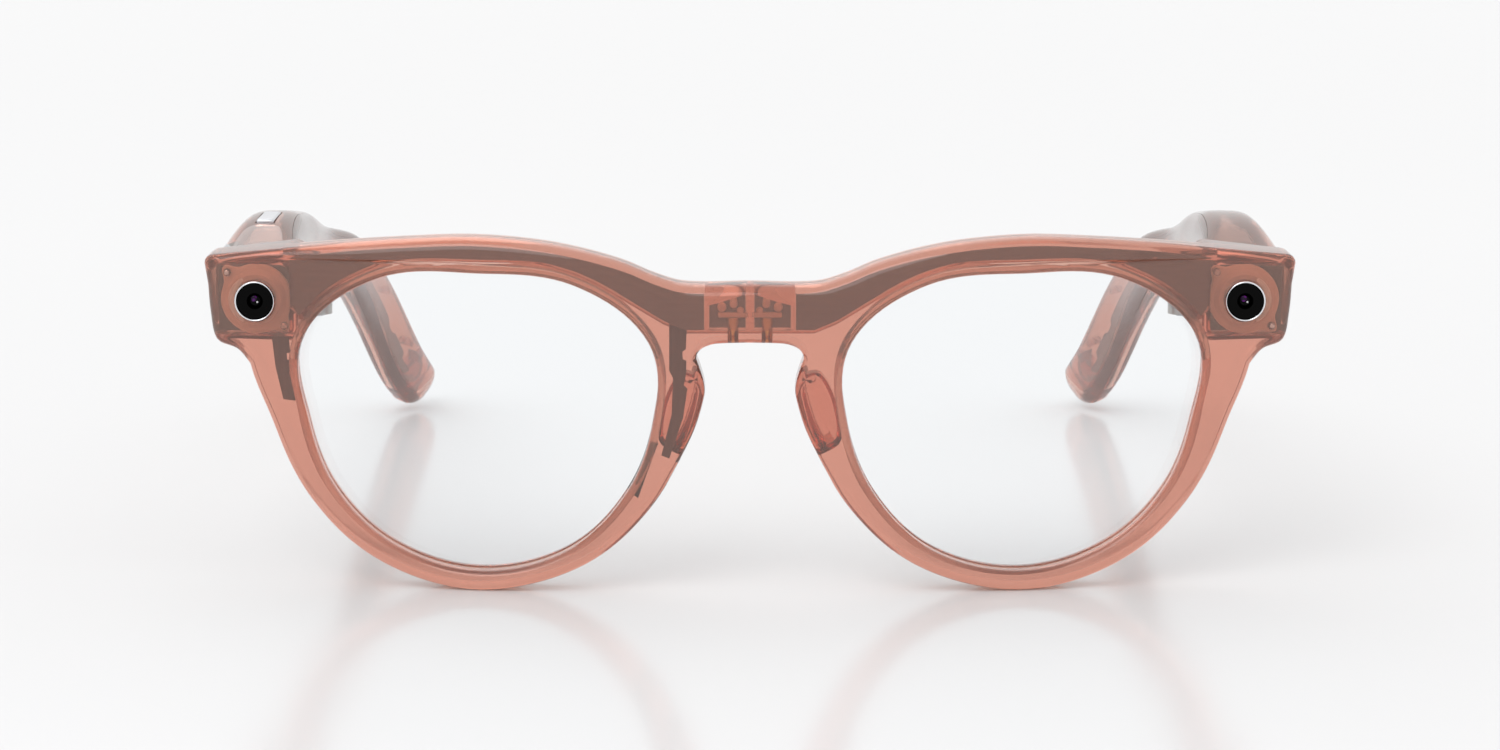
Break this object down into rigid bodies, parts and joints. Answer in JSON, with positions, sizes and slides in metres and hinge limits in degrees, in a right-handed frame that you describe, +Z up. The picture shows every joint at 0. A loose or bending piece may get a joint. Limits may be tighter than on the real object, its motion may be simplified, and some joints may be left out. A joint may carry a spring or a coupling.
{
  "type": "smart glasses",
  "caption": "Smart glasses with a translucent front and two folding temples, a camera and a light in the end pieces, clear lenses and electronics inside.",
  "frame": {"origin": "middle of the bounding box at the table, with the glasses standing open on their rims and temple tips", "axes": "+X is the wearer's left, -Y is the way the front faces, +Z is up"},
  "size_m": [0.1492, 0.1463, 0.0486],
  "materials": {
    "peach_plastic": "translucent peach, polished",
    "cover_plastic": "translucent peach, satin",
    "lens": "clear, coated",
    "bright_ring": "polished bright ring",
    "black_glass": "black, coated",
    "seal": "matt",
    "carrier_plastic": "light peach, moulded",
    "module_black": "moulded black",
    "lamp_white": "white diffuser",
    "steel": "bright",
    "hinge_metal": "satin",
    "flex": "brown-grey film",
    "copper_flex": "amber film with copper",
    "contact_gold": "gold plated",
    "board_green": "solder mask",
    "battery_pouch": "foil pouch"
  },
  "bodies": {
    "front": {"front_shell": "peach_plastic", "rear_cover": "cover_plastic", "left_end_cap": "cover_plastic", "right_end_cap": "cover_plastic", "left_lens": "lens", "right_lens": "lens", "camera_bezel": "bright_ring", "camera_window": "black_glass", "camera_gasket": "seal", "camera_carrier": "carrier_plastic", "camera_module": "module_black", "light_bezel": "bright_ring", "light_window": "black_glass", "light_gasket": "seal", "light_carrier": "carrier_plastic", "light_module": "lamp_white", "carrier_screws": "steel", "brow_flex": "flex", "side_antenna": "flex", "nose_flex": "flex", "nose_microphone": "flex", "charging_contacts": "contact_gold", "contact_carrier": "carrier_plastic", "left_front_hinge": "hinge_metal", "right_front_hinge": "hinge_metal", "front_hinge_screws": "steel", "left_hinge_pin": "steel", "right_hinge_pin": "steel"},
    "left_temple": {"left_temple_shell": "peach_plastic", "left_temple_cover": "cover_plastic", "left_temple_hinge": "hinge_metal", "left_hinge_screws": "steel", "battery": "battery_pouch", "charging_board": "board_green", "power_switch": "module_black", "left_speaker": "module_black", "left_microphone": "steel", "left_tip_antenna": "flex"},
    "right_temple": {"right_temple_shell": "peach_plastic", "right_temple_cover": "cover_plastic", "right_temple_hinge": "hinge_metal", "right_hinge_screws": "steel", "main_board": "board_green", "processor_shield": "steel", "touch_sensor": "copper_flex", "capture_switch": "steel", "right_speaker": "module_black", "right_microphone": "steel", "right_tip_antenna": "flex"},
    "capture_button": {"capture_button": "peach_plastic"},
    "power_slider": {"power_slider": "module_black"}
  },
  "joints": [
    {"name": "left_temple_fold", "type": "hinge", "parent": "front", "child": "left_temple", "pos_m": [0.05965, -0.05698, 0.03979], "axis": [0, 0, 1], "range_deg": [0, 88]},
    {"name": "right_temple_fold", "type": "hinge", "parent": "front", "child": "right_temple", "pos_m": [-0.05965, -0.05698, 0.03979], "axis": [0, 0, -1], "range_deg": [0, 76]},
    {"name": "capture_button_press", "type": "slide", "parent": "right_temple", "child": "capture_button", "axis": [0, 0, -1], "range_m": [0, 0.0004], "stiffness_N_per_m": 500, "springref_m": -0.0002},
    {"name": "power_switch_slide", "type": "slide", "parent": "left_temple", "child": "power_slider", "axis": [0, 1, 0], "range_m": [0, 0.002]}
  ]
}
